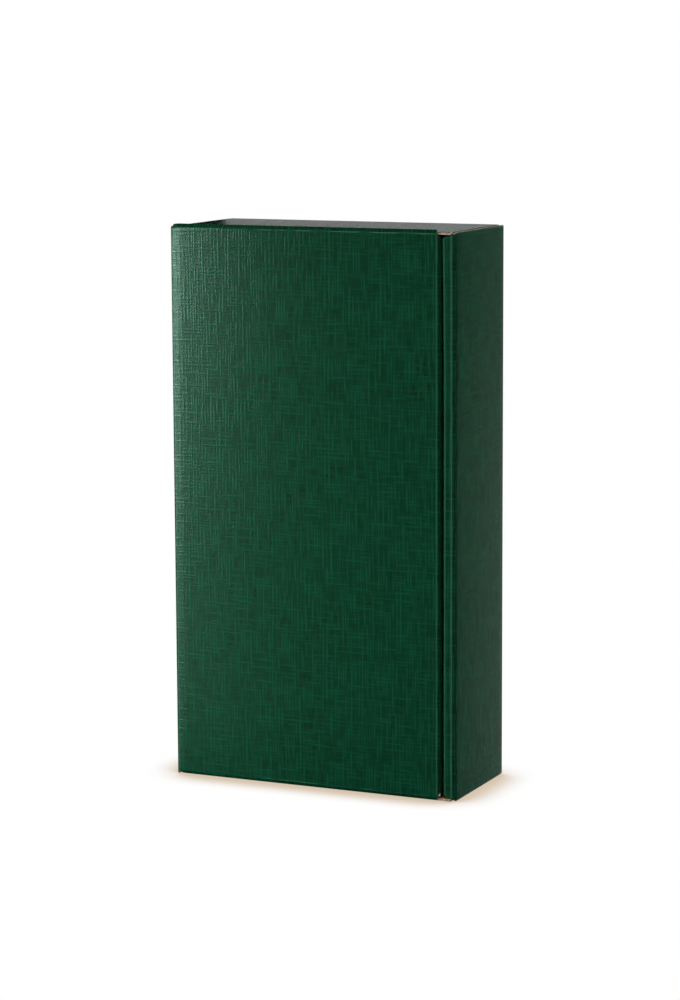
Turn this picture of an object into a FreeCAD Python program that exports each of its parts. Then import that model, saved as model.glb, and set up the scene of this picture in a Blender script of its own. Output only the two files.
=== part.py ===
# A two-bottle wine box, folded from micro-fluted board and standing on its bottom end.
# +Z runs up its length, the lid faces -Y and is hinged along the -X edge.
# The origin is the middle of the ground that the box covers. Lengths are in millimetres.

import FreeCAD
import Part
import Sketcher
import math
import os
import re

# Driving dimensions of the box.
SIZES = {
    # Tray
    "box_width": 186.0,          # outside, hinge wall to rim wall
    "box_depth": 80.0,           # outside, lid to back panel
    "tray_height": 339.0,        # outside, bottom end to top end
    "board": 1.5,                # thickness of the board
    "fold_inside": 0.4,          # inside radius of every fold
    "edge_setback": 0.3,         # the walls' cut edges stop this far inside the ends' faces
    # Rolled-over rim along the closing side
    "rim_width": 7.3,            # outside, from the rim wall's face to the lining's
    "rim_clearance": 0.4,        # between the ends and the slanted ends of the rim
    "tab_length": 32.0,          # locking tabs along the lining's foot
    "tab_inset": 61.5,           # from the tray's ends to the middle of the outer tabs
    "tab_recess": 0.2,           # a tab's tip stops this far inside the back panel's face
    "slot_clearance": 0.3,       # round each tab in its slot
    # Ears that hold the ends to the walls
    "ear_length": 36.0,          # from the end's face to the ear's free edge
    "ear_setback": 3.0,          # from the end's front edge and back fold to the ear's sides
    "ear_corner": 14.0,          # slanted cut at the ear's free corners
    # Lid and its tuck flap
    "lid_overrun": 1.4,          # the lid's upper edge above the top end's face
    "lid_lift": 0.4,             # the lid's lower edge above the ground
    "lid_clearance": 0.3,        # between the lid and the tray's front edges
    "lid_corner_width": 0.8,     # slanted cut at the lid's free corners, across the box
    "lid_corner_height": 1.0,    # the same cut, along the box
    "hinge_clearance": 0.3,      # between a fold and the panel that turns on it
    "lid_gap": 2.0,              # between the lid's free fold and the rim
    "flap_depth": 25.0,          # tuck flap, from the lid's face
    "flap_clearance": 0.9,       # between the flap's root and the ends
    "flap_slant": 16.0,          # the flap's free edge is this much shorter at each end
    # Folded divider between the two bottles
    "divider_width": 14.0,       # across the ridge
    "divider_gap": 15.0,         # between the lid and the ridge
    "divider_end_gap": 20.0,     # between the ends and the divider
    "divider_foot": 26.0,        # each foot, from its web's face
}

# Places and lengths that several pieces share, in words of the sheet.
LEFT, RIGHT = "(-box_width / 2)", "(box_width / 2)"
FRONT, BACK = "(-box_depth / 2)", "(box_depth / 2)"
TOP = "tray_height"
FOLD = "(fold_inside + board)"
TRAY_FRONT = f"({FRONT} + board + lid_clearance)"
FLOOR = f"({BACK} - board)"
WALL_RUN = "(tray_height - 2 * edge_setback)"
END_REACH = f"({BACK} - {TRAY_FRONT})"
END_EDGE = f"(board + {FOLD})"
END_WIDTH = f"(box_width - 2 * {END_EDGE})"
EAR_RUN = f"({END_REACH} - {FOLD} - 2 * ear_setback)"
RIM_SLANT = f"((board + rim_clearance - edge_setback) * rim_width / {END_EDGE})"
LINING_FACE = f"({RIGHT} - rim_width)"
LINING_END = f"(edge_setback + {RIM_SLANT})"
FLAP_FACE = f"({LINING_FACE} - lid_gap)"
FLAP_END = "(board + flap_clearance)"
FLAP_RUN = f"(tray_height - 2 * {FLAP_END})"
DIVIDER_CENTRE = f"(({LEFT} + 2 * board + {LINING_FACE}) / 2)"
DIVIDER_HEIGHT = "(box_depth - 2 * board - divider_gap)"
DIVIDER_LOW = "(board + divider_end_gap)"
DIVIDER_LENGTH = f"(tray_height - 2 * {DIVIDER_LOW})"

X, Y, Z = FreeCAD.Vector(1, 0, 0), FreeCAD.Vector(0, 1, 0), FreeCAD.Vector(0, 0, 1)

doc = FreeCAD.newDocument("WineBox")
sheet = doc.addObject("Spreadsheet::Sheet", "Sizes")
for row, (alias, number) in enumerate(SIZES.items(), start=1):
    sheet.set(f"A{row}", alias)
    sheet.set(f"B{row}", str(number))
    sheet.setAlias(f"B{row}", alias)
doc.recompute()

pieces = []


def bound(words):
    """Words of the sheet as an expression that other objects can be bound to."""
    return re.sub(r"[a-z_]+", lambda name: "Sizes." + name.group(), words)


def worked(words):
    """Present value of such an expression."""
    return float(sheet.evalExpression(bound(words)))


def tie(sketch, kind, *target):
    """Add one dimension to a sketch and bind it to the sheet; the last target is its words."""
    number = sketch.addConstraint(Sketcher.Constraint(kind, *target[:-1], worked(target[-1])))
    sketch.setExpression(f"Constraints[{number}]", bound(target[-1]))


def draw(sketch, corners):
    """Closed outline. A corner is (x, y), or (x, y, arc) where an arc leads on to the next corner.

    An arc is its centre's x and y and its radius.
    """
    points = [FreeCAD.Vector(worked(corner[0]), worked(corner[1]), 0) for corner in corners]
    lines = []
    for corner, start, end in zip(corners, points, points[1:] + points[:1]):
        if len(corner) == 2:
            lines.append((sketch.addGeometry(Part.LineSegment(start, end)), 1, 2))
            continue
        centre_x, centre_y, radius = corner[2]
        centre = FreeCAD.Vector(worked(centre_x), worked(centre_y), 0)
        forward = (start - centre).cross(end - centre).z > 0
        arms = [start - centre, end - centre] if forward else [end - centre, start - centre]
        angles = [math.atan2(arm.y, arm.x) for arm in arms]
        circle = Part.Circle(centre, Z, worked(radius))
        number = sketch.addGeometry(Part.ArcOfCircle(circle, *angles))
        lines.append((number, 1, 2) if forward else (number, 2, 1))
        tie(sketch, "Radius", number, radius)
    for corner, this, following in zip(corners, lines, lines[1:] + lines[:1]):
        sketch.addConstraint(Sketcher.Constraint("Coincident", this[0], this[2], following[0], following[1]))
        tie(sketch, "DistanceX", this[0], this[1], corner[0])
        tie(sketch, "DistanceY", this[0], this[1], corner[1])


def new_sketch(body, plane, *outlines):
    """Sketch with closed outlines on one of the body's own planes."""
    sketch = body.newObject("Sketcher::SketchObject", body.Name + "_outline")
    support = next(item for item in body.Origin.OriginFeatures if item.Role == plane)
    sketch.AttachmentSupport = [(support, "")]
    sketch.MapMode = "FlatFace"
    for corners in outlines:
        draw(sketch, corners)
    return sketch


def padded(label, length, *outlines):
    """Piece of board: outlines in its own XY plane, padded along its own Z."""
    body = doc.addObject("PartDesign::Body", label)
    body.Label = label
    pad = body.newObject("PartDesign::Pad", label + "_board")
    pad.Profile = new_sketch(body, "XY_Plane", *outlines)
    pad.setExpression("Length", bound(length))
    body.Tip = pad
    pieces.append(body)
    return body


def trimmed(body, least, *outlines):
    """Cut outlines in the piece's own XZ plane right through its board, which takes off least or more."""
    doc.recompute()
    whole = body.Shape.Volume
    cut = body.newObject("PartDesign::Pocket", body.Name + "_trim")
    cut.Profile = new_sketch(body, "XZ_Plane", *outlines)
    cut.Type = "ThroughAll"
    cut.Midplane = True
    body.Tip = cut
    doc.recompute()
    rounding = 0.001
    if whole - body.Shape.Volume < (1 - rounding) * worked(least):
        raise ValueError(f"{body.Label}: it wasn't trimmed as drawn")
    return body


def place(body, along_x, along_y, x, y, z):
    """Turn the piece's own X and Y onto two directions of the box and bind its place to the sheet."""
    turn = FreeCAD.Rotation(along_x, along_y, along_x.cross(along_y), "XYZ")
    body.Placement = FreeCAD.Placement(FreeCAD.Vector(worked(x), worked(y), worked(z)), turn)
    for direction, words in (("x", x), ("y", y), ("z", z)):
        body.setExpression(f"Placement.Base.{direction}", bound(words))


def box_outline(x_low, y_low, x_high, y_high):
    """Four corners of a rectangle."""
    return [(x_low, y_low), (x_high, y_low), (x_high, y_high), (x_low, y_high)]


# The faces beside a fold, if they went on, would meet in the piece's own origin.
INSIDE_OF_FOLD = (FOLD, FOLD, "fold_inside")
OUTSIDE_OF_FOLD = (FOLD, FOLD, FOLD)
FOLD_AT_ROOT = [(FOLD, "board", INSIDE_OF_FOLD), ("board", FOLD), ("0", FOLD, OUTSIDE_OF_FOLD)]


def fold_alone(label, run):
    """Quarter turn of board between one panel along its own X and another along its own Y."""
    return padded(label, run, [(FOLD, "0")] + FOLD_AT_ROOT)


def folded_panel(label, reach, run):
    """Panel along its own X with the fold at its root; its neighbour goes on along its own Y."""
    return padded(label, run, [(FOLD, "0"), (reach, "0"), (reach, "board")] + FOLD_AT_ROOT)


def folded_strip(label, width, run):
    """Strip along its own X with a fold at each side; both neighbours go on along its own Y."""
    far = f"({width} - {FOLD})"
    far_fold = [
        (far, "0", (far, FOLD, FOLD)),
        (width, FOLD),
        (f"{width} - board", FOLD, (far, FOLD, "fold_inside")),
        (far, "board"),
    ]
    return padded(label, run, [(FOLD, "0")] + far_fold + FOLD_AT_ROOT)


def tab_middles():
    """Places of the locking tabs along the box, from its bottom end."""
    return ["tab_inset", "(tray_height / 2)", "(tray_height - tab_inset)"]


def make_back_panel():
    """Flat back between the folds, with a slot for each locking tab."""
    low, high = f"({LINING_FACE} - slot_clearance)", f"({LINING_FACE} + board + slot_clearance)"
    half = "(tab_length / 2 + slot_clearance)"
    slots = [box_outline(low, f"{z} - {half}", high, f"{z} + {half}") for z in tab_middles()]
    panel = box_outline(f"{LEFT} + {FOLD}", FOLD, f"{RIGHT} - {FOLD}", f"{TOP} - {FOLD}")
    place(padded("back_panel", "board", panel, *slots), X, Z, "0", BACK, "0")


def make_walls():
    """Hinge wall and rim wall, each folded forward from the back panel."""
    hinge_wall = folded_panel("hinge_wall", f"box_depth - {FOLD}", WALL_RUN)
    place(hinge_wall, -Y, X, LEFT, BACK, "edge_setback")
    rim_wall = folded_panel("rim_wall", f"{END_REACH} - {FOLD}", WALL_RUN)
    place(rim_wall, -Y, -X, RIGHT, BACK, f"{TOP} - edge_setback")


def make_rim():
    """Rim rolled over from the rim wall, and the lining that goes on from it to the back panel."""
    rim = folded_strip("rim_strip", "rim_width", WALL_RUN)
    lower = [("0", "0"), ("rim_width", "0"), ("rim_width", RIM_SLANT)]
    upper = [("0", WALL_RUN), ("rim_width", f"{WALL_RUN} - {RIM_SLANT}"), ("rim_width", WALL_RUN)]
    trimmed(rim, f"rim_width * {RIM_SLANT} * board / 2", lower, upper)
    place(rim, -X, Y, RIGHT, TRAY_FRONT, f"{TOP} - edge_setback")
    front, tip = f"{TRAY_FRONT} + {FOLD}", f"{BACK} - tab_recess"
    low, high = LINING_END, f"{TOP} - {LINING_END}"
    corners = [(low, front), (low, FLOOR)]
    for z in tab_middles():
        start, end = f"{z} - tab_length / 2", f"{z} + tab_length / 2"
        corners += [(start, FLOOR), (start, tip), (end, tip), (end, FLOOR)]
    corners += [(high, FLOOR), (high, front)]
    place(padded("rim_lining", "board", corners), Z, Y, f"{LINING_FACE} + board", "0", "0")


def make_ends():
    """Top and bottom ends, folded forward from the back panel."""
    top = folded_panel("top_end_panel", END_REACH, END_WIDTH)
    place(top, -Y, -Z, f"{LEFT} + {END_EDGE}", BACK, TOP)
    bottom = folded_panel("bottom_end_panel", END_REACH, END_WIDTH)
    place(bottom, -Y, Z, f"{RIGHT} - {END_EDGE}", BACK, "0")


def make_ear(label, along, inward, x, y, z):
    """Ear folded from an end along the inside of a wall, with its two free corners cut off."""
    ear = folded_panel(label, "ear_length", EAR_RUN)
    cut = "ear_length - ear_corner"
    near = [(cut, "0"), ("ear_length", "0"), ("ear_length", "ear_corner")]
    far = [(cut, EAR_RUN), ("ear_length", f"{EAR_RUN} - ear_corner"), ("ear_length", EAR_RUN)]
    trimmed(ear, "ear_corner * ear_corner * board", near, far)
    place(ear, along, inward, x, y, z)


def make_ears():
    """Ears glued inside the hinge wall, and ears held between the rim wall and its lining."""
    back_side, front_side = f"{BACK} - {FOLD} - ear_setback", f"{TRAY_FRONT} + ear_setback"
    hinge_side, rim_side = f"{LEFT} + board", f"{RIGHT} - board"
    make_ear("top_end_hinge_ear", -Z, X, hinge_side, back_side, TOP)
    make_ear("top_end_rim_ear", -Z, -X, rim_side, front_side, TOP)
    make_ear("bottom_end_hinge_ear", Z, X, hinge_side, front_side, "0")
    make_ear("bottom_end_rim_ear", Z, -X, rim_side, back_side, "0")


def make_lid():
    """Lid with slanted free corners, and the fold that it turns on."""
    place(fold_alone("lid_hinge_fold", WALL_RUN), X, Y, LEFT, FRONT, "edge_setback")
    near, far = f"{LEFT} + {FOLD} + hinge_clearance", f"{FLAP_FACE} - {FOLD}"
    low, high = "lid_lift", f"{TOP} + lid_overrun"
    inner = f"{far} - lid_corner_width"
    free_edge = [
        (inner, low),
        (far, f"{low} + lid_corner_height"),
        (far, f"{high} - lid_corner_height"),
        (inner, high),
    ]
    panel = padded("lid_panel", "board", [(near, low)] + free_edge + [(near, high)])
    place(panel, X, Z, "0", f"{FRONT} + board", "0")


def make_tuck_flap():
    """Flap that tucks in beside the lining, and the fold between it and the lid."""
    place(fold_alone("tuck_flap_fold", FLAP_RUN), -X, Y, FLAP_FACE, FRONT, f"{TOP} - {FLAP_END}")
    root, edge = f"{FRONT} + {FOLD} + hinge_clearance", f"{FRONT} + flap_depth"
    low, high = FLAP_END, f"{TOP} - {FLAP_END}"
    flap = [(root, low), (edge, f"{low} + flap_slant"), (edge, f"{high} - flap_slant"), (root, high)]
    place(padded("tuck_flap", "board", flap), Y, Z, f"{FLAP_FACE} - board", "0", "0")


def make_divider():
    """Ridge, two webs and two feet of the folded divider, which stands on the back panel."""
    left_face = f"({DIVIDER_CENTRE} - divider_width / 2)"
    right_face = f"({DIVIDER_CENTRE} + divider_width / 2)"
    low, high = DIVIDER_LOW, f"{DIVIDER_LOW} + {DIVIDER_LENGTH}"
    ridge_face = f"{FLOOR} - {DIVIDER_HEIGHT}"
    place(folded_strip("divider_ridge", "divider_width", DIVIDER_LENGTH), X, Y, left_face, ridge_face, low)
    web = box_outline("0", "0", f"{DIVIDER_HEIGHT} - 2 * {FOLD}", "board")
    web_start = f"{ridge_face} + {FOLD}"
    place(padded("divider_left_web", DIVIDER_LENGTH, web), Y, X, left_face, web_start, high)
    place(padded("divider_right_web", DIVIDER_LENGTH, web), Y, -X, right_face, web_start, low)
    foot_reach = "divider_foot + board"
    left_foot = folded_panel("divider_left_foot", foot_reach, DIVIDER_LENGTH)
    place(left_foot, -X, -Y, f"{left_face} + board", FLOOR, low)
    right_foot = folded_panel("divider_right_foot", foot_reach, DIVIDER_LENGTH)
    place(right_foot, X, -Y, f"{right_face} - board", FLOOR, high)


make_back_panel()
make_walls()
make_rim()
make_ends()
make_ears()
make_lid()
make_tuck_flap()
make_divider()
doc.recompute()

for item in doc.Objects:
    if {"Invalid", "Error"} & set(item.State):
        raise ValueError(f"{item.Label}: {item.State}")
for body in pieces:
    if body.Shape.isNull() or not body.Shape.isValid() or len(body.Shape.Solids) != 1:
        raise ValueError(f"{body.Label}: not one valid solid")

os.makedirs("parts", exist_ok=True)
for body in pieces:
    body.Shape.exportStep(f"parts/{body.Label}.step")
    box = body.Shape.BoundBox
    corners = [(box.XMin, box.XMax), (box.YMin, box.YMax), (box.ZMin, box.ZMax)]
    print(body.Label, [tuple(round(value, 2) for value in pair) for pair in corners])
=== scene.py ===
# Looks of a folded wine box: micro-fluted board under dark green, linen-embossed paper.
# Lining, rim, rim wall, back, hinge wall, lid and tuck flap are one sheet, so they follow one walk
# round the box. Lengths are in metres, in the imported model's frame: +Z up, lid towards -Y, hinge at -X.

import cmath
import math
from collections import namedtuple

import bmesh
import bpy
from mathutils import Matrix, Vector


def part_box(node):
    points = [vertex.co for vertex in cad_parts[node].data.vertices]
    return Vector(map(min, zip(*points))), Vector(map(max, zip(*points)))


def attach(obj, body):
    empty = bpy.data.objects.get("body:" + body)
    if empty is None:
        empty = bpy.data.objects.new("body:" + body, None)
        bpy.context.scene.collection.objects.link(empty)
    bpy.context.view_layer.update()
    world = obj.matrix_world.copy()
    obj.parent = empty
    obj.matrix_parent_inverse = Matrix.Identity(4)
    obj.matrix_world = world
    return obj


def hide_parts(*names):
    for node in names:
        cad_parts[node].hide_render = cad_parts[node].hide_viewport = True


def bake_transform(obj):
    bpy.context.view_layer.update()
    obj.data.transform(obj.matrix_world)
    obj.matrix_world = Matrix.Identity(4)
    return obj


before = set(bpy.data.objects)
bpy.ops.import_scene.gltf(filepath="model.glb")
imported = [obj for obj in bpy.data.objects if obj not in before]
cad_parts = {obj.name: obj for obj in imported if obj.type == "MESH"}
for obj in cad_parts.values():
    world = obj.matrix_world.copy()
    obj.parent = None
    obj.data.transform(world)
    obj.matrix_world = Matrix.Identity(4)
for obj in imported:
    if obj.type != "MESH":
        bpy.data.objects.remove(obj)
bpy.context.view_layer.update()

MM = 0.001


def low(node):
    """Lowest corner of a CAD node."""
    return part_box(node)[0]


def high(node):
    """Highest corner of a CAD node."""
    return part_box(node)[1]


# Faces of the box, from the frame.
BOARD = high("back_panel").y - low("back_panel").y
FOLD = high("lid_hinge_fold").x - low("lid_hinge_fold").x
LEFT, RIGHT = low("hinge_wall").x, high("rim_wall").x
FRONT, BACK = low("lid_panel").y, high("back_panel").y
TRAY_FRONT = low("rim_strip").y
BOTTOM, TOP = low("bottom_end_panel").z, high("top_end_panel").z
LINING_FACE = low("rim_lining").x
FLAP_FACE = high("tuck_flap").x

# Sizes that the frame's boxes don't give.
TAB_LENGTH = 32 * MM        # locking tabs of the lining
TAB_INSET = 61.5 * MM       # from the box's ends to the middles of the outer tabs
TAB_MIDDLES = (BOTTOM + TAB_INSET, (BOTTOM + TOP) / 2, TOP - TAB_INSET)
SLOT_ROOM = 0.3 * MM        # round a tab in its slot
FLAP_SLANT = 16 * MM        # the flap's free edge is this much shorter at each end
EAR_CORNER = 14 * MM        # slanted cut at the ears' free corners

# Layers of the board, where a cut edge shows them.
LINER = 0.28 * MM           # paper on each side of the fluted layer
FLUTE_PITCH = 3.2 * MM
FLUTE_PAPER = 0.2 * MM
OPEN_EDGE = 0.6 * MM        # depth to which the flutes lie open at a cut edge
FLUTE_STEPS = 8             # points along one flute

# Rounding that the die leaves along cut edges: depth and run on the outer face.
Crush = namedtuple("Crush", "depth run")
SOFT_CRUSH = Crush(0.35 * MM, 0.8 * MM)
LID_CRUSH = Crush(1.15 * MM, 2.8 * MM)
INNER_CRUSH = 0.1           # share of it on the inner face
CRUSH_CURVE = 1.2           # how the rounding steepens towards the edge
CRUSH_HOLD = 1.15           # a line at this many runs from the edge holds the flat

# Folds: outer radius, and how far the panels are drawn in beside them.
Fold = namedtuple("Fold", "radius draw")
FOLD_DRAW = 0.35 * MM
FOLD_DRAW_RUN = 9 * MM
FOLD_DRAW_CURVE = 3
TIGHT = Fold(FOLD, FOLD_DRAW)
PLAIN = Fold(FOLD, 0.0)
ROUND = Fold(2.4 * MM, 0.0)

# Departures from straight.
RIM_LEAN = 0.8 * MM         # the rim's inner edge leans towards the lid
RIM_BULGE = 1.0 * MM        # and more so at its top
RIM_BULGE_RUN = 95 * MM
TOP_DIP = 1.0 * MM          # the ends slope down to the lid
TOP_DIP_RUN = 60 * MM
TOP_DIP_SHARES = ((0.0, 0.0), (0.06, 1.0), (0.55, 1.0), (0.92, 0.0))  # place across the box, share of the dip
LID_BOW = 0.5 * MM          # panels sink this far in their middles
WALL_BOW = 0.35 * MM
LID_HINGE_CORNER = 0.7 * MM
LID_HINGE_CORNER_RUN = 4 * MM
LID_CORNER_DROP = 0.8 * MM
LID_CORNER_RUN = 0.7 * MM
FLAP_ROOT_DROP = 0.4        # share of the flap's crease over which its ends drop to the flap's

# Painted light on the paper: highlights beside folds and at cut edges, shade in folds and on crushed edges.
HIGHLIGHT_RUN = 1.0 * MM        # width of the painted highlight beside a fold
SHADE_RUN = 5 * MM          # width of the painted shade beside a fold
SHADE_RISE = 0.4            # share of the fold over which the painted shade begins
FOLD_HIGHLIGHT = 0.35          # how far a highlighted fold turns to the painted highlight colour
FOLD_SHADE = 0.42         # how far a shaded fold turns to the painted shade colour
EDGE_UNEVEN = (0.6, 1.3)    # factors on a cut edge's painted light in its faintest and strongest patches
EDGE_HIGHLIGHT_START, EDGE_HIGHLIGHT_END = (0.0, 0.1), (0.12, 0.3)  # edge share over which the painted highlight line begins and ends
EDGE_HIGHLIGHT = (0.1, 0.7)      # how far that line turns to the painted highlight colour in such patches
EDGE_SHADE_RANGE = (0.15, 0.45)  # edge share over which the crushed edge turns dark with painted shade
EDGE_SHADE = 0.3             # and how far it does

# Mesh.
FOLD_STEPS = 10
CRUSH_STEPS = 5
DRAW_STEPS = 6
FLAT_STEP = 8 * MM
SAME_PLACE = 0.01 * MM      # lines closer than this are one
LEG_END = 0.001 * MM        # a place this far beyond a leg still lies on it
SHARP_ANGLE = math.radians(35)
PAST_EDGE = 1 * MM          # a hole that reaches an edge goes on this far

# Material slots of a piece.
OUTER, INNER, CUT = 0, 1, 2

# Sides of a square of the mesh: step to the neighbour, and the square's corners on that side.
SIDES = {
    "start": ((-1, 0), (0, 3)),
    "end": ((1, 0), (1, 2)),
    "low": ((0, -1), (0, 1)),
    "high": ((0, 1), (3, 2)),
}

# Knots (place, value) of a piece that is equally long all along its walk.
NO_DROP = ((0.0, 0.0),)

Leg = namedtuple("Leg", "point heading length radius distance before after")


def station(leg, along):
    """Place and heading at a distance along a leg."""
    if not leg.radius:
        return leg.point + leg.heading * along, leg.heading
    turn = cmath.exp(1j * along / leg.radius)
    centre = leg.point + 1j * leg.heading * leg.radius
    return centre + (leg.point - centre) * turn, leg.heading * turn


def walk(point, heading, moves):
    """Legs of a walk along the board's outer face, with the board on the left.

    Places and headings are complex numbers. A move is a length, or a fold to the left. A leg also
    holds how far it is drawn in before and after it.
    """
    legs, distance = [], 0.0
    draws = [0.0] + [move.draw if isinstance(move, Fold) else 0.0 for move in moves] + [0.0]
    for number, move in enumerate(moves):
        if isinstance(move, Fold):
            radius, length = move.radius, move.radius * math.pi / 2
            before = after = move.draw
        else:
            radius, length = 0.0, move
            before, after = draws[number], draws[number + 2]
        leg = Leg(point, heading, length, radius, distance, before, after)
        legs.append(leg)
        point, heading = station(leg, length)
        distance += length
    return legs


def sloped(knots, place):
    """Value at a place: straight between knots (place, value) and level outside them."""
    if place <= knots[0][0]:
        return knots[0][1]
    for (start, first), (end, second) in zip(knots, knots[1:]):
        if place <= end:
            return first + (second - first) * (place - start) / (end - start)
    return knots[-1][1]


def spread(start, end, step):
    """Evenly spaced places from start to end, about a step apart."""
    count = max(1, math.ceil((end - start) / step))
    return [start + (end - start) * number / count for number in range(count + 1)]


def merged(places):
    """Sorted places, without those that are the same."""
    kept = []
    for place in sorted(places):
        if not kept or place - kept[-1] > SAME_PLACE:
            kept.append(place)
    return kept


class Board:
    """One piece of board: some legs of a walk, between two limits along the fold.

    cuts names the sides that are cut edges, of start, end, low and high. drop gives how much the
    piece is shorter at both limits along the walk. bow and dip are depths; the next two lists are the
    legs that get a painted highlight and those that get painted shade, and holes are (start, end, low, high).
    """

    def __init__(self, legs, bottom, top, cuts=(), drop=NO_DROP, crush=SOFT_CRUSH, bow=0.0, dip=0.0,
                 rubbed=(), shaded=(), holes=()):
        self.legs, self.bottom, self.top = legs, bottom, top
        self.cuts, self.drop, self.crush = cuts, drop, crush
        self.bow, self.dip, self.holes = bow, dip, holes
        self.rubbed, self.shaded = rubbed, shaded
        self.length = sum(leg.length for leg in legs)

    def leg_at(self, along):
        """Leg at a distance from the piece's start, and the distance along that leg."""
        for leg in self.legs[:-1]:
            if along <= leg.length + LEG_END:
                return leg, along
            along -= leg.length
        return self.legs[-1], along

    def limits(self, along):
        """Lower and upper limit along the fold."""
        short = sloped(self.drop, along)
        return self.bottom + short, self.top - short

    def edge_distance(self, along, run):
        """Distance to the nearest cut edge."""
        lower, upper = self.limits(along)
        gaps = {"start": along, "end": self.length - along, "low": run - lower, "high": upper - run}
        return min([gaps[side] for side in self.cuts], default=math.inf)

    def sink(self, leg, place, share):
        """Depth of a leg's outer face below its plain place; share runs along the fold from 0 to 1."""
        if leg.radius:
            return leg.before
        after = leg.length - place
        drawn = leg.before * max(0.0, 1 - place / FOLD_DRAW_RUN) ** FOLD_DRAW_CURVE
        drawn += leg.after * max(0.0, 1 - after / FOLD_DRAW_RUN) ** FOLD_DRAW_CURVE
        bulge = math.sin(math.pi * place / leg.length) * math.sin(math.pi * share)
        middle = sloped(TOP_DIP_SHARES, share)
        return drawn + self.bow * bulge + self.dip * middle * max(0.0, 1 - after / TOP_DIP_RUN) ** 2

    def painted_light(self, leg, place):
        """Shares of painted highlight and of painted shade at a place on a leg."""
        ridge = fold_shade = 0.0
        if leg in self.rubbed:
            crest = math.sin(math.pi * place / leg.length)
            beside = max(0.0, 1 - min(place, leg.length - place) / HIGHLIGHT_RUN)
            ridge = crest if leg.radius else beside
        if leg in self.shaded:
            rising = min(1.0, place / (SHADE_RISE * leg.length))
            fold_shade = rising if leg.radius else max(0.0, 1 - place / SHADE_RUN)
        return ridge, fold_shade

    def faces(self, along, run):
        """Places on the outer and the inner face, and the painted light there: highlight, shade and cut edge.
        """
        leg, place = self.leg_at(along)
        point, heading = station(leg, place)
        inward = 1j * heading
        lower, upper = self.limits(along)
        sink = self.sink(leg, place, (run - lower) / (upper - lower))
        gap = max(0.0, self.edge_distance(along, run))
        edge = max(0.0, 1 - gap / self.crush.run)
        dip = self.crush.depth * edge ** CRUSH_CURVE
        outer = point + inward * (sink + dip)
        inner = point + inward * (sink + BOARD - INNER_CRUSH * dip)
        return outer, inner, (*self.painted_light(leg, place), edge)

    def edge_places(self):
        """Distances from a cut edge at which the rounding needs lines; the last one holds the flat."""
        turns = [math.pi / 2 * number / CRUSH_STEPS for number in range(CRUSH_STEPS + 1)]
        return [self.crush.run * math.sin(turn) for turn in turns] + [CRUSH_HOLD * self.crush.run]

    def lines_across(self):
        """Distances from the start at which the mesh has a line."""
        places, passed = [], 0.0
        for leg in self.legs:
            step = leg.length / FOLD_STEPS if leg.radius else FLAT_STEP
            places += [passed + place for place in spread(0.0, leg.length, step)]
            if not leg.radius:
                near = [HIGHLIGHT_RUN, SHADE_RUN, *spread(0.0, FOLD_DRAW_RUN, FOLD_DRAW_RUN / DRAW_STEPS)]
                near = [place for place in near if place < leg.length / 2]
                places += [passed + place for place in near]
                places += [passed + leg.length - place for place in near]
            passed += leg.length
        places += [place for place, _ in self.drop if 0 < place < self.length]
        places += [place for hole in self.holes for place in hole[:2] if 0 < place < self.length]
        if "start" in self.cuts:
            places += self.edge_places()
        if "end" in self.cuts:
            places += [self.length - place for place in self.edge_places()]
        return merged(places)

    def lines_along(self, along):
        """Places along the fold at which the mesh has a point, at one distance from the start."""
        lower, upper = self.limits(along)
        longest = self.top - self.bottom
        edge = self.edge_places()[-1]
        share = (upper - lower - 2 * edge) / (longest - 2 * edge)
        inside = spread(0.0, longest - 2 * edge, FLAT_STEP)
        marks = [place - self.bottom - edge for hole in self.holes for place in hole[2:]]
        inside += [place for place in marks if 0 < place < longest - 2 * edge]
        places = [lower + edge + share * place for place in merged(inside)]
        near = self.edge_places()[:-1]
        return [lower + place for place in near] + places + [upper - place for place in reversed(near)]

    def is_open(self, along, run):
        """Whether a place lies in one of the holes."""
        return any(hole[0] < along < hole[1] and hole[2] < run < hole[3] for hole in self.holes)


class Mesh:
    """Points and faces of a piece, placed in the box and on the flat sheet."""

    def __init__(self, place, weave):
        self.place, self.weave = place, weave
        self.points, self.sheet, self.painted_light = [], [], []
        self.corners, self.slots = [], []

    def point(self, flat, run, along, painted_light=(0.0, 0.0, 0.0)):
        self.points.append(self.place(flat, run))
        self.sheet.append(self.weave(along, run))
        self.painted_light.append(painted_light)
        return len(self.points) - 1

    def face(self, corners, slot):
        self.corners.append(corners)
        self.slots.append(slot)

    def strip(self, first, second, slots):
        """Faces between two rows of points."""
        pairs = zip(first, first[1:], second[1:], second)
        for corners, slot in zip(pairs, slots):
            self.face(corners, slot)


def add_flutes(mesh, board, side):
    """Fluted layer that shows at a cut edge: a closed ribbon that swings between the two papers."""
    ends = board.limits(board.length) if side == "end" else (0.0, board.length)
    margin = FLUTE_PITCH / 4
    rows = []
    for place in spread(ends[0] + margin, ends[1] - margin, FLUTE_PITCH / FLUTE_STEPS):
        along = board.length if side == "end" else place
        lower, upper = board.limits(along)
        run = {"end": place, "low": lower, "high": upper}[side]
        outer, inner, _ = board.faces(along, run)
        middle, thick = (outer + inner) / 2, abs(outer - inner)
        swing = thick / 2 - LINER - FLUTE_PAPER / 2
        across = (outer - inner) / thick
        wave = middle + across * swing * math.sin(2 * math.pi * place / FLUTE_PITCH)
        _, heading = station(*board.leg_at(along))
        back = -heading * OPEN_EDGE if side == "end" else 0
        deeper = {"end": 0.0, "low": OPEN_EDGE, "high": -OPEN_EDGE}[side]
        half = across * FLUTE_PAPER / 2
        rows.append([
            mesh.point(wave + half, run, along),
            mesh.point(wave - half, run, along),
            mesh.point(wave - half + back, run + deeper, along),
            mesh.point(wave + half + back, run + deeper, along),
        ])
    for first, second in zip(rows, rows[1:]):
        mesh.strip(first + first[:1], second + second[:1], [CUT] * 4)
    mesh.face(rows[0], CUT)
    mesh.face(rows[-1], CUT)


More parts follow.
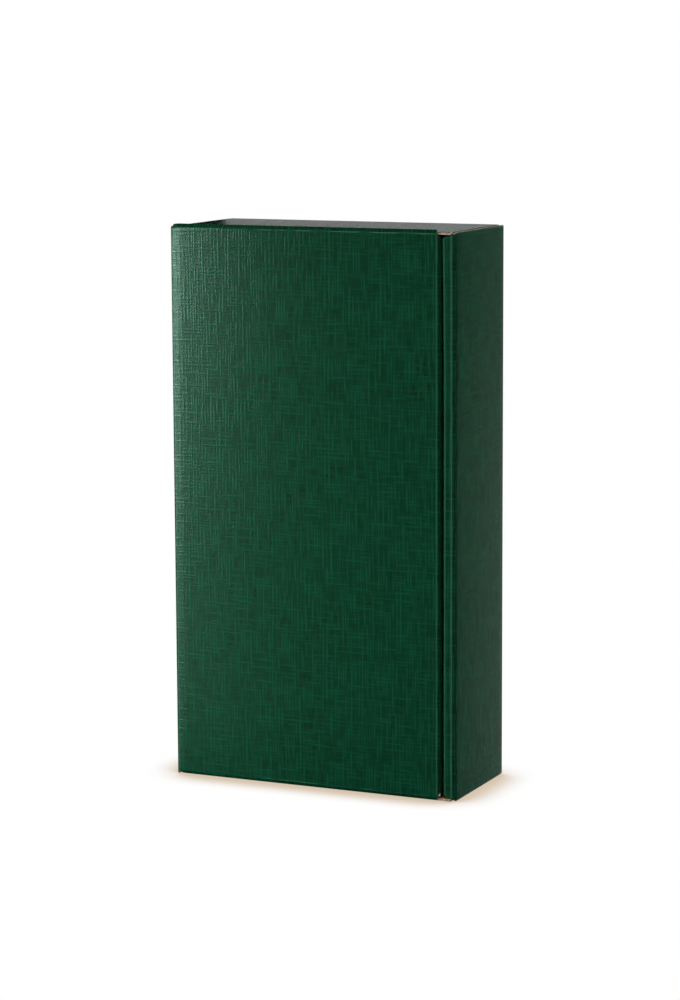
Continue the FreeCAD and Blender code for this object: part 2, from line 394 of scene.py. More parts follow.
def add_edge_rows(mesh, along, run, outer, inner, outward):
    """Points down a cut edge, from the outer to the inner face: paper, open flutes, paper."""
    flat_out, run_out = outward
    thick = abs(inner - outer)
    paper = (inner - outer) * min(LINER / thick, 1 / 3)
    deep = (-flat_out * OPEN_EDGE, -run_out * OPEN_EDGE)
    return [
        mesh.point(outer + paper, run, along),
        mesh.point(outer + paper + deep[0], run + deep[1], along),
        mesh.point(inner - paper + deep[0], run + deep[1], along),
        mesh.point(inner - paper, run, along),
    ]


def cut_direction(board, heading, line, point, last_line, last_point):
    """Way out of the board at a point of the grid, over the cut sides that it lies on."""
    flat, run = 0, 0.0
    if line == 0 and "start" in board.cuts:
        flat -= heading
    if line == last_line and "end" in board.cuts:
        flat += heading
    if point == 0 and "low" in board.cuts:
        run -= 1.0
    if point == last_point and "high" in board.cuts:
        run += 1.0
    return flat, run


def fill(mesh, board, flutes=()):
    """Closed mesh of a piece of board: both faces, its sides and the flutes at its cut edges."""
    lines = board.lines_across()
    grid = [board.lines_along(along) for along in lines]
    last_line, last_point = len(lines) - 1, len(grid[0]) - 1
    solid = set()
    for line in range(last_line):
        along = (lines[line] + lines[line + 1]) / 2
        for point in range(last_point):
            run = (grid[line][point] + grid[line][point + 1]) / 2
            if not board.is_open(along, run):
                solid.add((line, point))
    columns = {}

    def column(line, point):
        """Points through the board at one place of the grid, from the outer to the inner face."""
        if (line, point) not in columns:
            along, run = lines[line], grid[line][point]
            outer, inner, painted_light = board.faces(along, run)
            _, heading = station(*board.leg_at(along))
            out = cut_direction(board, heading, line, point, last_line, last_point)
            first = mesh.point(outer, run, along, painted_light)
            rows = add_edge_rows(mesh, along, run, outer, inner, out) if any(out) else []
            columns[line, point] = [first, *rows, mesh.point(inner, run, along, painted_light)]
        return columns[line, point]

    for line, point in sorted(solid):
        square = [(line, point), (line + 1, point), (line + 1, point + 1), (line, point + 1)]
        mesh.face([column(*corner)[0] for corner in square], OUTER)
        mesh.face([column(*corner)[-1] for corner in reversed(square)], INNER)
        for side, ((step, rise), (first, second)) in SIDES.items():
            if (line + step, point + rise) in solid:
                continue
            one, other = column(*square[first]), column(*square[second])
            at_limit = not (0 <= line + step < last_line and 0 <= point + rise < last_point)
            if at_limit and side in board.cuts and len(one) == len(other) > 2:
                mesh.strip(one, other, [CUT] * (len(one) - 1))
            else:
                mesh.face(one + other[::-1], CUT)
    for side in flutes:
        add_flutes(mesh, board, side)


def piece(name, mesh, materials, warp=None):
    """Blender object of a mesh, with its place on the sheet and its shares of painted light as attributes."""
    data = bpy.data.meshes.new(name)
    points = [warp(point) for point in mesh.points] if warp else mesh.points
    data.from_pydata(points, [], mesh.corners)
    data.polygons.foreach_set("material_index", mesh.slots)
    sheet = data.attributes.new("sheet", "FLOAT_VECTOR", "POINT")
    sheet.data.foreach_set("vector", [number for place in mesh.sheet for number in place])
    painted_light = data.attributes.new("painted_light", "FLOAT_VECTOR", "POINT")
    painted_light.data.foreach_set("vector", [number for marks in mesh.painted_light for number in marks])
    for material in materials:
        data.materials.append(material)
    work = bmesh.new()
    work.from_mesh(data)
    bmesh.ops.recalc_face_normals(work, faces=work.faces)
    work.to_mesh(data)
    work.free()
    data.polygons.foreach_set("use_smooth", [True] * len(data.polygons))
    data.set_sharp_from_angle(angle=SHARP_ANGLE)
    made = bpy.data.objects.new(name, data)
    bpy.context.scene.collection.objects.link(made)
    return made


class Graph:
    """Node tree that is written as nested calls."""

    def __init__(self, tree):
        self.tree = tree
        tree.nodes.clear()

    def add(self, kind, inputs=None, **settings):
        """Node of a kind; inputs are numbers, colours or sockets by name or number."""
        node = self.tree.nodes.new("ShaderNode" + kind)
        for key, value in settings.items():
            setattr(node, key, value)
        for key, value in (inputs or {}).items():
            if isinstance(value, bpy.types.NodeSocket):
                self.tree.links.new(value, node.inputs[key])
            else:
                node.inputs[key].default_value = value
        return node

    def math(self, operation, *values):
        inputs = dict(enumerate(values))
        return self.add("Math", inputs, operation=operation).outputs[0]

    def between(self, value, start, end, first=0.0, second=1.0):
        """Value from first to second as an input goes from start to end, smoothly."""
        inputs = {0: value, 1: start, 2: end, 3: first, 4: second}
        return self.add("MapRange", inputs, interpolation_type="SMOOTHSTEP").outputs[0]

    def mix(self, share, first, second):
        """One number or the other, by a share."""
        return self.add("Mix", {0: share, 2: first, 3: second}, data_type="FLOAT").outputs[0]

    def colour(self, share, first, second):
        """One colour or the other, by a share."""
        return self.add("Mix", {0: share, 6: first, 7: second}, data_type="RGBA").outputs[2]

    def sheet(self):
        """Place on the flat sheet, in metres."""
        return self.add("Attribute", attribute_name="sheet").outputs["Vector"]

    def painted_light(self):
        """Three shares from 0 to 1: painted highlight beside a fold, painted shade in a fold, and nearness to
        a cut edge.
        """
        marks = self.add("Attribute", attribute_name="painted_light").outputs["Vector"]
        return self.add("SeparateXYZ", {0: marks}).outputs

    def noise(self, place, across, along, detail=2.0, shift=0.0):
        """Noise on the sheet whose grains are so long across and along the fold."""
        inputs = {"Vector": place, "Location": (shift, -shift, 0), "Scale": (1 / across, 1 / along, 1)}
        grain = self.add("Mapping", inputs).outputs[0]
        inputs = {"Vector": grain, "Scale": 1.0, "Detail": detail}
        return self.add("TexNoise", inputs, noise_dimensions="2D").outputs[0]

    def ribs(self, distance, pitch, sway):
        """Ribs side by side at a pitch, from 0 to 1; sway shifts them, in pitches."""
        turns = self.math("MULTIPLY_ADD", distance, 1 / pitch, sway)
        wave = self.math("SINE", self.math("MULTIPLY", turns, 2 * math.pi))
        return self.math("MULTIPLY_ADD", wave, 0.5, 0.5)

    def bump(self, height, strength, depth):
        inputs = {"Strength": strength, "Distance": depth, "Height": height}
        return self.add("Bump", inputs).outputs[0]

    def surface(self, **inputs):
        """Principled surface, wired to the output."""
        named = {key.replace("_", " "): value for key, value in inputs.items()}
        shader = self.add("BsdfPrincipled", named)
        self.add("OutputMaterial", {0: shader.outputs[0]})


def new_material(name):
    """Material with an empty node tree."""
    made = bpy.data.materials.new(name)
    made.use_nodes = True
    return made, Graph(made.node_tree)


def linear(red, green, blue):
    """Colour from its values on a screen, 0 to 255."""
    shares = [value / 255 for value in (red, green, blue)]
    return tuple(s / 12.92 if s <= 0.04045 else ((s + 0.055) / 1.055) ** 2.4 for s in shares) + (1.0,)


# Colours, from their values on a screen.
WHITE, BLACK = (1, 1, 1, 1), (0, 0, 0, 1)
PAPER_DARK, PAPER_LIGHT = linear(0, 43, 23), linear(0, 47, 27)
# Painted highlight on the raised threads of the emboss.
PAPER_THREAD_LIT = linear(2, 64, 41)
# Painted highlight beside folds and along cut edges.
PAPER_HIGHLIGHT = linear(62, 112, 90)
# Painted shade in folds and on crushed edges.
PAPER_SHADE = linear(0, 20, 10)
PAPER_SHINE = (0.62, 1.0, 0.84, 1.0)
KRAFT_DARK, KRAFT_LIGHT, KRAFT_FLECK = linear(146, 110, 76), linear(188, 151, 112), linear(96, 66, 42)
CUT_DARK, CUT_LIGHT = linear(138, 120, 106), linear(190, 172, 152)
FLOOR_GREY, FLOOR_SHADOW = (0.86, 0.86, 0.86, 1), linear(214, 196, 174)

# Linen emboss. Threads sway together in groups, and come and go along their length.
THREAD_PITCH = 2.0 * MM
THREAD_WIDTH = 1.8 * MM
THREAD_LENGTH = 15.6 * MM
THREAD_GROUP = 12 * MM
THREAD_WANDER = 150 * MM
THREAD_SWAY = 2.2           # in pitches
THREAD_VALLEY = 0.15        # height between threads, as a share
FIBRE_WIDTH, FIBRE_LENGTH = 0.5 * MM, 4 * MM
FIBRE_HEIGHT = 0.5          # as a share of the threads'
EMBOSS_DEPTH = 0.08 * MM
EMBOSS_STRENGTH = 0.5
PAPER_ROUGHNESS = (0.26, 0.23)  # between the threads, and on them
PAPER_CLOUD = 45 * MM       # size of the paper's uneven tones
PAINT_PATCH = 25 * MM        # size of the patches in which the painted light along its edges is stronger

# Threads in one direction: noise shifts, range of the noise over which they rise, greatest height.
Threads = namedtuple("Threads", "upright sway_shift share_shift rise height")
UP_THREADS = Threads(True, 0.0, 9.1, (0.34, 0.68), 1.0)
LEVEL_THREADS = Threads(False, 4.2, 6.3, (0.4, 0.74), 0.9)


def threads(graph, sheet, distance, kind):
    """Height of the threads that lie side by side along a distance, from 0 to 1."""
    def grain(width, length, **settings):
        """Noise whose grains lie along the threads."""
        size = (width, length) if kind.upright else (length, width)
        return graph.noise(sheet, *size, **settings)

    sway = grain(THREAD_GROUP, THREAD_WANDER, detail=0.0, shift=kind.sway_shift)
    sway = graph.math("MULTIPLY", sway, THREAD_SWAY)
    share = grain(THREAD_WIDTH, THREAD_LENGTH, shift=kind.share_shift)
    share = graph.between(share, *kind.rise, 0.0, kind.height)
    ribs = graph.between(graph.ribs(distance, THREAD_PITCH, sway), 0.0, 1.0, THREAD_VALLEY, 1.0)
    return graph.math("MULTIPLY", ribs, share)


def paper_with_painted_light(graph, sheet, paper):
    """Colour of paper with painted highlights beside folds and along cut edges, and painted shade in folds
    and on crushed edges.
    """
    ridge, fold, edge = graph.painted_light()
    # Painted highlight just inside each cut edge and beside folds, painted shade on crushed edges and in
    # folds.
    patches = graph.noise(sheet, PAINT_PATCH, PAINT_PATCH, shift=2.6)
    edge = graph.math("MULTIPLY", edge, graph.between(patches, 0.3, 0.7, *EDGE_UNEVEN))
    line_start = graph.between(edge, *EDGE_HIGHLIGHT_START)
    line_end = graph.between(edge, *EDGE_HIGHLIGHT_END, 1.0, 0.0)
    edge_highlight = graph.math("MULTIPLY", line_start, line_end)
    edge_highlight = graph.math("MULTIPLY", edge_highlight, graph.between(patches, 0.42, 0.6, *EDGE_HIGHLIGHT))
    rubbed = graph.math("MAXIMUM", edge_highlight, graph.math("MULTIPLY", ridge, FOLD_HIGHLIGHT))
    # Painted shade on crushed edges, and in folds beside it.
    crushed_shade = graph.between(edge, *EDGE_SHADE_RANGE, 0.0, EDGE_SHADE)
    dark = graph.math("MAXIMUM", crushed_shade, graph.math("MULTIPLY", fold, FOLD_SHADE))
    return graph.colour(dark, graph.colour(rubbed, paper, PAPER_HIGHLIGHT), PAPER_SHADE)


def linen_paper():
    """Dark green paper with a linen emboss: threads that run up and across, stronger in places."""
    made, graph = new_material("green_linen")
    sheet = graph.sheet()
    across, along = graph.add("SeparateXYZ", {0: sheet}).outputs[:2]
    up = threads(graph, sheet, across, UP_THREADS)
    level = threads(graph, sheet, along, LEVEL_THREADS)
    crossed = graph.math("MULTIPLY", up, level)
    weave = graph.math("SUBTRACT", graph.math("ADD", up, level), crossed)
    up_fibres = graph.noise(sheet, FIBRE_WIDTH, FIBRE_LENGTH)
    level_fibres = graph.noise(sheet, FIBRE_LENGTH, FIBRE_WIDTH)
    fibres = graph.math("ADD", up_fibres, level_fibres)
    height = graph.math("MULTIPLY_ADD", fibres, FIBRE_HEIGHT, weave)
    uneven = graph.noise(sheet, PAPER_CLOUD, PAPER_CLOUD, detail=3.0)
    ground = graph.colour(uneven, PAPER_DARK, PAPER_LIGHT)
    graph.surface(
        # The emboss's raised threads are painted lighter than the ground: a painted highlight on the threads.
        Base_Color=paper_with_painted_light(graph, sheet, graph.colour(weave, ground, PAPER_THREAD_LIT)),
        Roughness=graph.between(weave, 0.0, 1.0, *PAPER_ROUGHNESS),
        Specular_IOR_Level=0.5,
        Specular_Tint=PAPER_SHINE,
        Normal=graph.bump(height, EMBOSS_STRENGTH, EMBOSS_DEPTH),
    )
    return made


def kraft_liner():
    """Raw brown board: fibres in all directions, flecks, and flutes that show through faintly."""
    long_fibre, cross_fibre = (0.35 * MM, 3.5 * MM), (3.0 * MM, 0.4 * MM)
    cloud, fleck, depth = (14 * MM, 18 * MM), (0.8 * MM, 0.8 * MM), 0.08 * MM
    cloud_share, fleck_share, flute_shade, flute_height = 0.3, 0.5, 0.05, 0.6
    between_fibres, on_fibres = 0.92, 0.78
    made, graph = new_material("kraft_liner")
    sheet = graph.sheet()
    long_fibres = graph.noise(sheet, *long_fibre, detail=4.0)
    cross_fibres = graph.noise(sheet, *cross_fibre, detail=4.0, shift=5.3)
    clouds = graph.noise(sheet, *cloud, detail=4.0, shift=2.1)
    flecks = graph.between(graph.noise(sheet, *fleck, detail=1.0, shift=7.7), 0.68, 0.78)
    across = graph.add("SeparateXYZ", {0: sheet}).outputs[0]
    flutes = graph.math("SINE", graph.math("MULTIPLY", across, 2 * math.pi / FLUTE_PITCH))
    fibres = graph.math("MULTIPLY", graph.math("ADD", long_fibres, cross_fibres), 0.5)
    shade = graph.math("MULTIPLY_ADD", flutes, flute_shade, graph.mix(cloud_share, fibres, clouds))
    board = graph.colour(graph.between(shade, 0.3, 0.7), KRAFT_DARK, KRAFT_LIGHT)
    height = graph.math("MULTIPLY_ADD", flutes, flute_height, fibres)
    graph.surface(
        Base_Color=graph.colour(graph.math("MULTIPLY", flecks, fleck_share), board, KRAFT_FLECK),
        Roughness=graph.between(fibres, 0.3, 0.7, between_fibres, on_fibres),
        Specular_IOR_Level=0.3,
        Normal=graph.bump(height, 0.3, depth),
    )
    return made


def cut_board():
    """Cut edges: torn fibres, paler than the liner."""
    fibre, depth = 0.5 * MM, 0.1 * MM
    made, graph = new_material("cut_board")
    torn = graph.noise(graph.sheet(), fibre, fibre, detail=5.0)
    graph.surface(
        Base_Color=graph.colour(graph.between(torn, 0.3, 0.7), CUT_DARK, CUT_LIGHT),
        Roughness=0.95,
        Specular_IOR_Level=0.2,
        Normal=graph.bump(torn, 0.5, depth),
    )
    return made


COVERED = [linen_paper(), kraft_liner(), cut_board()]
RAW = [COVERED[INNER], COVERED[INNER], COVERED[CUT]]


def upright(flat, run):
    """Place of a piece whose folds run up the box."""
    return Vector((flat.real, flat.imag, run))


def bulge_rim(point):
    """Rim that leans over at its inner edge; the lining stays in place at its foot."""
    front = min(1.0, max(0.0, (BACK - point.y) / (BACK - TRAY_FRONT)))
    inner = min(1.0, max(0.0, (RIGHT - FOLD - point.x) / (RIGHT - FOLD - LINING_FACE)))
    near_top = max(0.0, 1 - (TOP - point.z) / RIM_BULGE_RUN)
    lean = RIM_LEAN + RIM_BULGE * near_top ** 2
    return point - Vector((lean * front * inner, 0, 0))


SHEET = walk(
    complex(LINING_FACE, high("rim_lining").y),
    -1j,
    [
        high("rim_lining").y - TRAY_FRONT - FOLD,
        PLAIN,
        RIGHT - LINING_FACE - FOLD - ROUND.radius,
        ROUND,
        BACK - TRAY_FRONT - FOLD - ROUND.radius,
        TIGHT,
        RIGHT - LEFT - 2 * FOLD,
        TIGHT,
        BACK - FRONT - 2 * FOLD,
        TIGHT,
        FLAP_FACE - LEFT - 2 * FOLD,
        TIGHT,
        high("tuck_flap").y - FRONT - FOLD,
    ],
)
LINING, RIM, RIM_WALL, BACK_PANEL = SHEET[0:1], SHEET[1:4], SHEET[4:6], SHEET[6:7]
HINGE_WALL, LID_ROOT, LID, FLAP_ROOT, FLAP = SHEET[7:9], SHEET[9:10], SHEET[10:11], SHEET[11:12], SHEET[12:13]


def sheet_piece(node, board, flutes=("low", "high"), warp=None):
    """Piece of the folded sheet that stands for a CAD node."""
    start = board.legs[0].distance
    mesh = Mesh(upright, lambda along, run: (start + along, run, 0.0))
    fill(mesh, board, flutes)
    made = piece(node + "_board", mesh, COVERED, warp)
    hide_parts(node)
    return made


def heights(node):
    """Lowest and highest place of a CAD node."""
    return low(node).z, high(node).z


def make_lining():
    """Lining with its tabs, which are what is left of the part below the tray's floor."""
    foot = high("rim_lining").y - low("back_panel").y
    bottom, top = heights("rim_lining")
    edges = [bottom - PAST_EDGE]
    for middle in TAB_MIDDLES:
        edges += [middle - TAB_LENGTH / 2, middle + TAB_LENGTH / 2]
    edges.append(top + PAST_EDGE)
    holes = [(-PAST_EDGE, foot, start, end) for start, end in zip(edges[0::2], edges[1::2])]
    board = Board(LINING, bottom, top, ("low", "high"), holes=holes)
    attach(sheet_piece("rim_lining", board, warp=bulge_rim), "tray")


def make_tray():
    """Rim, walls and back of the tray."""
    make_lining()
    bottom, top = heights("rim_strip")
    width = sum(leg.length for leg in RIM)
    slant = low("rim_lining").z - bottom
    slanted = ((0.0, slant), (width, 0.0))
    # The rim gets a painted highlight on its inner fold and beside it, and painted shade in its fold to the
    # wall.
    rim = Board(RIM, bottom, top, ("low", "high"), drop=slanted, rubbed=RIM[:2], shaded=RIM[2:])
    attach(sheet_piece("rim_strip", rim, warp=bulge_rim), "tray")
    bottom, top = heights("rim_wall")
    # The wall gets painted shade beside its front fold.
    wall = Board(RIM_WALL, bottom, top, ("low", "high"), shaded=RIM_WALL[:1])
    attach(sheet_piece("rim_wall", wall), "tray")
    bottom, top = heights("hinge_wall")
    wall = Board(HINGE_WALL, bottom, top, ("low", "high"), bow=WALL_BOW)
    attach(sheet_piece("hinge_wall", wall), "tray")
    bottom, top = heights("back_panel")
    first = RIGHT - FOLD - (LINING_FACE + BOARD + SLOT_ROOM)
    last = RIGHT - FOLD - (LINING_FACE - SLOT_ROOM)
    half = TAB_LENGTH / 2 + SLOT_ROOM
    slots = [(first, last, middle - half, middle + half) for middle in TAB_MIDDLES]
    back = Board(BACK_PANEL, bottom, top, bow=WALL_BOW, holes=slots)
    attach(sheet_piece("back_panel", back, flutes=()), "tray")


def make_lid():
    """Lid, tuck flap and the two creases that they turn on."""
    bottom, top = heights("lid_panel")
    far = LID[0].length
    corners = (
        (0.0, LID_HINGE_CORNER),
        (LID_HINGE_CORNER_RUN / 3, LID_HINGE_CORNER / 3),
        (LID_HINGE_CORNER_RUN, 0.0),
        (far - LID_CORNER_RUN, 0.0),
        (far, LID_CORNER_DROP),
    )
    # The lid gets a painted highlight beside both its folds.
    lid = Board(LID, bottom, top, ("low", "high"), drop=corners, crush=LID_CRUSH, bow=LID_BOW, rubbed=LID)
    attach(sheet_piece("lid_panel", lid, flutes=()), "lid")

    flap_bottom, flap_top = heights("tuck_flap")
    slant = ((0.0, LID_CORNER_DROP), (FLAP_ROOT_DROP * FLAP_ROOT[0].length, top - flap_top))
    # The flap's crease gets painted shade.
    root = Board(FLAP_ROOT, bottom, top, ("low", "high"), drop=slant, shaded=FLAP_ROOT)
    root = sheet_piece("tuck_flap_fold", root, flutes=())
    start, end = complex(FLAP_FACE - FOLD, FRONT + BOARD), complex(FLAP_FACE - BOARD, FRONT + FOLD)
    bend_across(root)

    slant = ((0.0, 0.0), (FLAP[0].length, FLAP_SLANT))
    flap = Board(FLAP, flap_bottom, flap_top, ("low", "high", "end"), drop=slant)
    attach(sheet_piece("tuck_flap", flap), "flap")

    bottom, top = heights("lid_hinge_fold")
    hinge = Board(LID_ROOT, bottom, top, ("low", "high"))
    hinge = sheet_piece("lid_hinge_fold", hinge, flutes=())
    start, end = complex(LEFT + BOARD, FRONT + FOLD), complex(LEFT + FOLD, FRONT + BOARD)
    bend_across(hinge)


def bend_across(made):
    """Bake a crease's transform into its mesh; it does not bend between the two bodies."""
    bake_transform(made)


def make_ends():
    """Top and bottom end, folded forward from the back panel, and their ears."""
    end_walk = walk(complex(BACK, TOP - FOLD), 1j, [PLAIN, BACK - FOLD - TRAY_FRONT])
    left, right = low("top_end_panel").x, high("top_end_panel").x
    ear_walk = walk(complex(left, TOP), -1, [PLAIN, TOP - FOLD - low("top_end_hinge_ear").z])
    ear_length = sum(leg.length for leg in ear_walk)
    for where, turned in (("top", False), ("bottom", True)):
        def height(z):
            return BOTTOM + TOP - z if turned else z

        end = Board(end_walk, left, right, ("end",), dip=TOP_DIP)
        mesh = Mesh(
            lambda flat, run: Vector((run, flat.real, height(flat.imag))),
            lambda along, run: (run, TOP + along, 0.0),
        )
        fill(mesh, end, ("end",))
        made = piece(where + "_end_panel_board", mesh, COVERED)
        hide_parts(where + "_end_panel")
        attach(made, "tray")
        for side, sign in (("hinge", 1), ("rim", -1)):
            node = f"{where}_end_{side}_ear"
            cut = ((ear_length - EAR_CORNER, 0.0), (ear_length, EAR_CORNER))
            ear = Board(ear_walk, low(node).y, high(node).y, ("low", "high", "end"), drop=cut)
            mesh = Mesh(
                lambda flat, run: Vector((sign * flat.real, run, height(flat.imag))),
                lambda along, run: (along, run, 0.0),
            )
            fill(mesh, ear, ("low", "high"))
            made = piece(node + "_board", mesh, COVERED)
            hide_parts(node)
            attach(made, "tray")


def make_divider():
    """Ridge, webs and feet of the raw divider."""
    bottom, top = heights("divider_ridge")
    ridge_low, ridge_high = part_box("divider_ridge")
    web = high("divider_left_web").y - low("divider_left_web").y
    front = walk(
        complex(ridge_low.x, ridge_high.y + web),
        -1j,
        [web, PLAIN, ridge_high.x - ridge_low.x - 2 * FOLD, PLAIN, web],
    )
    left_low, left_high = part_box("divider_left_foot")
    right_high = high("divider_right_foot")
    reach = left_high.x - left_low.x - FOLD
    left = walk(complex(left_high.x, left_low.y), 1j, [PLAIN, reach])
    right = walk(complex(right_high.x, right_high.y), -1, [reach, PLAIN])
    plan = (
        ("divider_left_web", front[0:1], ()),
        ("divider_ridge", front[1:4], ()),
        ("divider_right_web", front[4:5], ()),
        ("divider_left_foot", left, ("end",)),
        ("divider_right_foot", right, ("start",)),
    )
    for node, legs, cuts in plan:
        board = Board(legs, bottom, top, ("low", "high", *cuts))
        start = legs[0].distance
        mesh = Mesh(upright, lambda along, run: (start + along, run, 0.0))
        fill(mesh, board, ("low", "high"))
        made = piece(node + "_board", mesh, RAW)
        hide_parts(node)
        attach(made, "tray")


make_tray()
make_ends()
make_lid()
make_divider()

# Camera of the photograph, found from the box's edges: 680 x 1000 pixels, focal length in pixels.
PIXELS_HIGH = 1000
FOCAL_PIXELS = 3006
SENSOR = 36                 # millimetres
CLIP_START, CLIP_END = 0.05, 100
CAMERA_DISTANCE = 1836.7 * MM
CAMERA_YAW = math.radians(-24.567)
CAMERA_PITCH = math.radians(8.854)
CAMERA_ROLL = math.radians(-0.293)
CAMERA_SHIFT = (1.0 * MM, 1.32 * MM)
AIM = Vector((0, 0, 170 * MM))

# Floor, which the camera sees darken close to the box.
FLOOR_SIZE = 12.0
FLOOR_DROP = 0.1 * MM       # below the box, so that their faces don't coincide
FLOOR_SHADOW_REACH = 30 * MM
FLOOR_OPEN = (0.5, 0.98)    # share of open sky at which the shadow is full, and at which it ends

# Black flags behind the box, which only reflections see: inner and outer edge, place, half height.
Flag = namedtuple("Flag", "near far place")
RIGHT_FLAG = Flag(150 * MM, 1.0, 150 * MM)
LEFT_FLAG = Flag(-171 * MM, -1.0, 190 * MM)
FLAG_HEIGHT = 0.6

# Surround. Ranges are shares of a direction to the right, back and up.
TO_RIGHT, FRONT_TO_BACK, TO_BACK = (0.1, 0.6), (-0.3, 0.3), (0.0, 0.6)
DOME_RISE = (0.0, 0.95)
DOME_HORIZON, DOME_OVERHEAD = 2.15, 0.9
DOME_FRONT_RIGHT, DOME_BACK_RIGHT = -0.62, 1.1
STUDIO_BACK = (0.3, 0.8)
NEAR_FLOOR_RISE = (-0.16, -0.04)
NEAR_FLOOR_LOW, NEAR_FLOOR_HIGH = 0.25, 0.07
WALL_FOOT, WALL_TOP = (-0.02, 0.05), (0.08, 0.17)
WALL_DARK, WALL_BRIGHT, WALL_ABOVE = 0.02, 0.68, 0.12

# Softboxes: azimuth and elevation in degrees, distance, aim, width and height, spread and power.
Softbox = namedtuple("Softbox", "azimuth elevation distance aim size spread watts")
KEY_AIM = Vector((LEFT - 8 * MM, FRONT, 114 * MM))
KEY = Softbox(-41.5, 1.95, 0.5, KEY_AIM, (0.06, 0.425), math.radians(38.8), 0.128)
SIDE = Softbox(-80, 7.6, 1.3, AIM, (0.6, 0.45), math.pi, 3.4)


def make_camera():
    """Camera at the photograph's place."""
    forward = Vector((
        math.sin(CAMERA_YAW) * math.cos(CAMERA_PITCH),
        math.cos(CAMERA_YAW) * math.cos(CAMERA_PITCH),
        -math.sin(CAMERA_PITCH),
    ))
    level = Vector((math.cos(CAMERA_YAW), -math.sin(CAMERA_YAW), 0))
    up = level.cross(forward)
    across = math.cos(CAMERA_ROLL) * level + math.sin(CAMERA_ROLL) * up
    up = math.cos(CAMERA_ROLL) * up - math.sin(CAMERA_ROLL) * level
    lens = bpy.data.cameras.new("camera")
    lens.sensor_width = SENSOR
    lens.lens = SENSOR * FOCAL_PIXELS / PIXELS_HIGH
    lens.clip_start, lens.clip_end = CLIP_START, CLIP_END
    made = bpy.data.objects.new("camera", lens)
    place = AIM - forward * CAMERA_DISTANCE + across * CAMERA_SHIFT[0] + up * CAMERA_SHIFT[1]
    turn = Matrix((across, up, -forward)).transposed().to_4x4()
    made.matrix_world = Matrix.Translation(place) @ turn
    bpy.context.scene.collection.objects.link(made)
    bpy.context.scene.camera = made


def stage_plane(name, corners):
    """Plane of the stage, and its material's node tree."""
    data = bpy.data.meshes.new(name)
    data.from_pydata(corners, [], [(0, 1, 2, 3)])
    material, graph = new_material(name)
    data.materials.append(material)
    made = bpy.data.objects.new(name, data)
    bpy.context.scene.collection.objects.link(made)
    return made, graph


def make_floor():
    """White floor; the camera sees it darken warmly close to the box."""
    far, below = FLOOR_SIZE, -FLOOR_DROP
    corners = [(-far, -far, below), (far, -far, below), (far, far, below), (-far, far, below)]
    floor, graph = stage_plane("floor", corners)
    floor.visible_glossy = False
    near = graph.add("AmbientOcclusion", {"Distance": FLOOR_SHADOW_REACH}, samples=32).outputs["AO"]
    seen = graph.colour(graph.between(near, *FLOOR_OPEN), FLOOR_SHADOW, WHITE)
    lit = graph.add("Emission", {"Color": seen, "Strength": 1.0}).outputs[0]
    matt = graph.add("BsdfDiffuse", {"Color": FLOOR_GREY}).outputs[0]
    camera = graph.add("LightPath").outputs["Is Camera Ray"]
    both = graph.add("MixShader", {0: camera, 1: matt, 2: lit}).outputs[0]
    graph.add("OutputMaterial", {0: both})


def make_flag(name, size):
    """Black flag that darkens part of a reflection."""
    near, far, place = size
    low_edge = [(near, place, -FLAG_HEIGHT), (far, place, -FLAG_HEIGHT)]
    high_edge = [(far, place, FLAG_HEIGHT), (near, place, FLAG_HEIGHT)]
    flag, graph = stage_plane(name, low_edge + high_edge)
    flag.visible_camera = flag.visible_diffuse = flag.visible_shadow = False
    graph.add("OutputMaterial", {0: graph.add("BsdfDiffuse", {"Color": BLACK}).outputs[0]})


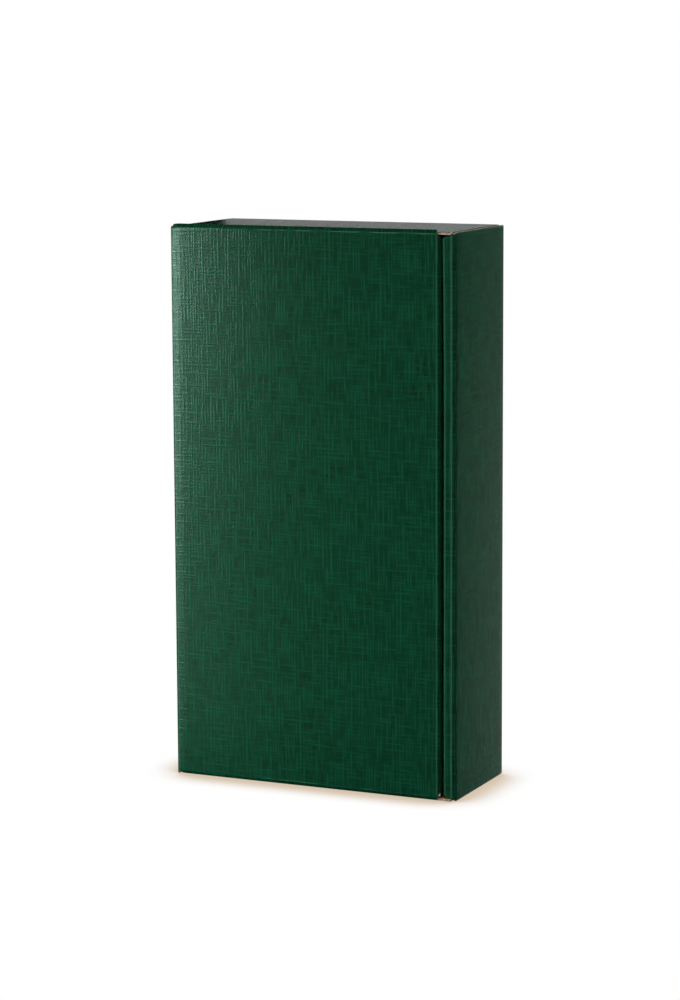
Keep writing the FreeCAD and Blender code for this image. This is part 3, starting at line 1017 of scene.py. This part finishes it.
def make_world():
    """White surround for the camera; a soft dome for matt light; a pale studio behind in reflections."""
    world = bpy.data.worlds.new("studio")
    world.use_nodes = True
    world.cycles.sampling_method = "NONE"
    bpy.context.scene.world = world
    graph = Graph(world.node_tree)
    path = graph.add("LightPath").outputs
    direction = graph.add("TexCoord").outputs["Generated"]
    right, back, up = graph.add("SeparateXYZ", {0: direction}).outputs
    to_right = graph.between(right, *TO_RIGHT)
    front_right = graph.math("MULTIPLY", to_right, graph.between(back, *FRONT_TO_BACK, 1.0, 0.0))
    back_right = graph.math("MULTIPLY", to_right, graph.between(back, *TO_BACK))
    dome = graph.between(up, *DOME_RISE, DOME_HORIZON, DOME_OVERHEAD)
    for part, change in ((front_right, DOME_FRONT_RIGHT), (back_right, DOME_BACK_RIGHT)):
        dome = graph.math("MULTIPLY", dome, graph.math("MULTIPLY_ADD", part, change, 1.0))
    near_floor = graph.between(up, *NEAR_FLOOR_RISE, NEAR_FLOOR_LOW, NEAR_FLOOR_HIGH)
    far_wall = graph.between(up, *WALL_FOOT, WALL_DARK, WALL_BRIGHT)
    far_wall = graph.math("MULTIPLY", far_wall, graph.between(up, *WALL_TOP, 1.0, WALL_ABOVE))
    studio = graph.math("ADD", near_floor, far_wall)
    studio = graph.math("MULTIPLY", studio, graph.between(back, *STUDIO_BACK))
    reflected = graph.math("MAXIMUM", path["Is Glossy Ray"], path["Is Transmission Ray"])
    strength = graph.mix(reflected, dome, studio)
    strength = graph.mix(path["Is Camera Ray"], strength, 1.0)
    shade = graph.add("Background", {"Color": WHITE, "Strength": strength})
    graph.add("OutputWorld", {0: shade.outputs[0]})


def around(azimuth, elevation, distance):
    """Place round the box, as a camera's: azimuth 0 is straight in front of the lid."""
    side, rise = math.radians(azimuth), math.radians(elevation)
    level = distance * math.cos(rise)
    return AIM + Vector((level * math.sin(side), -level * math.cos(side), distance * math.sin(rise)))


def add_softbox(name, lamp):
    """Rectangular lamp with a grid in front, which keeps its light within a spread of angles."""
    data = bpy.data.lights.new(name, "AREA")
    data.shape, data.energy, data.spread = "RECTANGLE", lamp.watts, lamp.spread
    data.size, data.size_y = lamp.size
    made = bpy.data.objects.new(name, data)
    place = around(lamp.azimuth, lamp.elevation, lamp.distance)
    turn = (place - lamp.aim).to_track_quat("Z", "Y").to_matrix().to_4x4()
    made.matrix_world = Matrix.Translation(place) @ turn
    bpy.context.scene.collection.objects.link(made)


make_camera()
make_floor()
make_flag("right_flag", RIGHT_FLAG)
make_flag("left_flag", LEFT_FLAG)
make_world()
add_softbox("key", KEY)
add_softbox("side", SIDE)
bpy.context.scene.view_settings.view_transform = "Standard"
